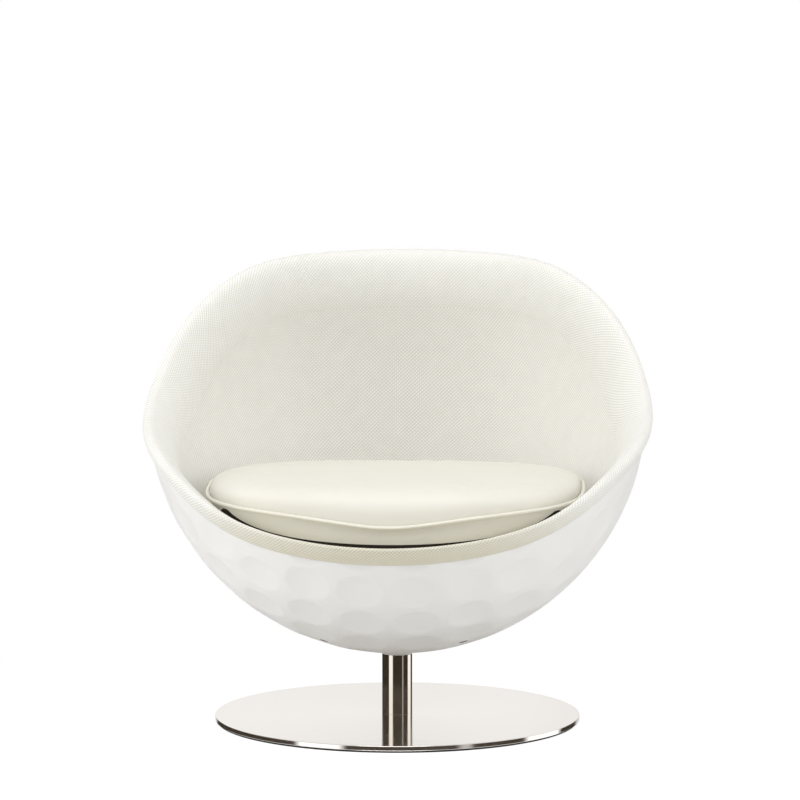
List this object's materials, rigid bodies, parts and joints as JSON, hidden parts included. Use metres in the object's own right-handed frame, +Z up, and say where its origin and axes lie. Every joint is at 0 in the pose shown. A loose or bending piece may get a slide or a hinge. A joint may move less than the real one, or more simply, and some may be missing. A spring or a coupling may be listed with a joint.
{
  "type": "pedestal swivel armchair",
  "caption": "Bucket armchair: a dimpled ball shell with woven lining, padded rim and loose leather cushion, turning freely on a round steel pedestal.",
  "frame": {"origin": "on the floor, under the middle of the column", "axes": "+Z up, +Y to the back of the chair, +X to the sitter's left"},
  "size_m": [0.8344, 0.77, 0.7692],
  "materials": {
    "pad_rubber": "matt black rubber",
    "base_steel": "brushed stainless steel",
    "column_steel": "brushed stainless steel",
    "zinc_steel": "zinc-plated steel",
    "black_steel": "black oxidised steel",
    "nylon": "natural nylon",
    "bearing_steel": "polished bearing steel",
    "cage_brass": "stamped brass",
    "frame_paint": "black powder coat",
    "shell_white": "glossy white moulded shell",
    "plywood": "birch plywood",
    "foam": "polyurethane foam",
    "weave": "off-white basket weave",
    "strip_plastic": "dark fibre strip",
    "leather": "smooth cream leather"
  },
  "bodies": {
    "base": {"floor_pad": "pad_rubber", "base_plate": "base_steel", "base_screws": "zinc_steel", "column_foot": "zinc_steel", "column_tube": "column_steel", "lower_bush": "nylon", "upper_bush": "nylon", "bearing_lower_race": "bearing_steel", "bearing_cage": "cage_brass", "bearing_balls": "bearing_steel"},
    "seat": {"bearing_upper_race": "bearing_steel", "spindle": "zinc_steel", "retaining_ring": "black_steel", "spindle_flange": "zinc_steel", "cross_frame": "frame_paint", "flange_bolts": "zinc_steel", "shell": "shell_white", "shell_screws": "black_steel", "board_posts": "frame_paint", "seat_board": "plywood", "board_screws": "zinc_steel", "wall_foam": "foam", "deck_foam": "foam", "lining": "weave", "rim_core": "foam", "rim_cover": "weave", "tack_strip": "strip_plastic"},
    "cushion": {"cushion_cover": "leather", "cushion_core": "foam", "cushion_piping": "leather"}
  },
  "joints": [
    {"name": "seat_swivel", "type": "hinge", "parent": "base", "child": "seat", "pos_m": [0, 0, 0.1], "axis": [0, 0, 1], "continuous": true},
    {"name": "cushion_lift", "type": "slide", "parent": "seat", "child": "cushion", "axis": [0, 0, 1], "range_m": [0, 0.3]}
  ]
}
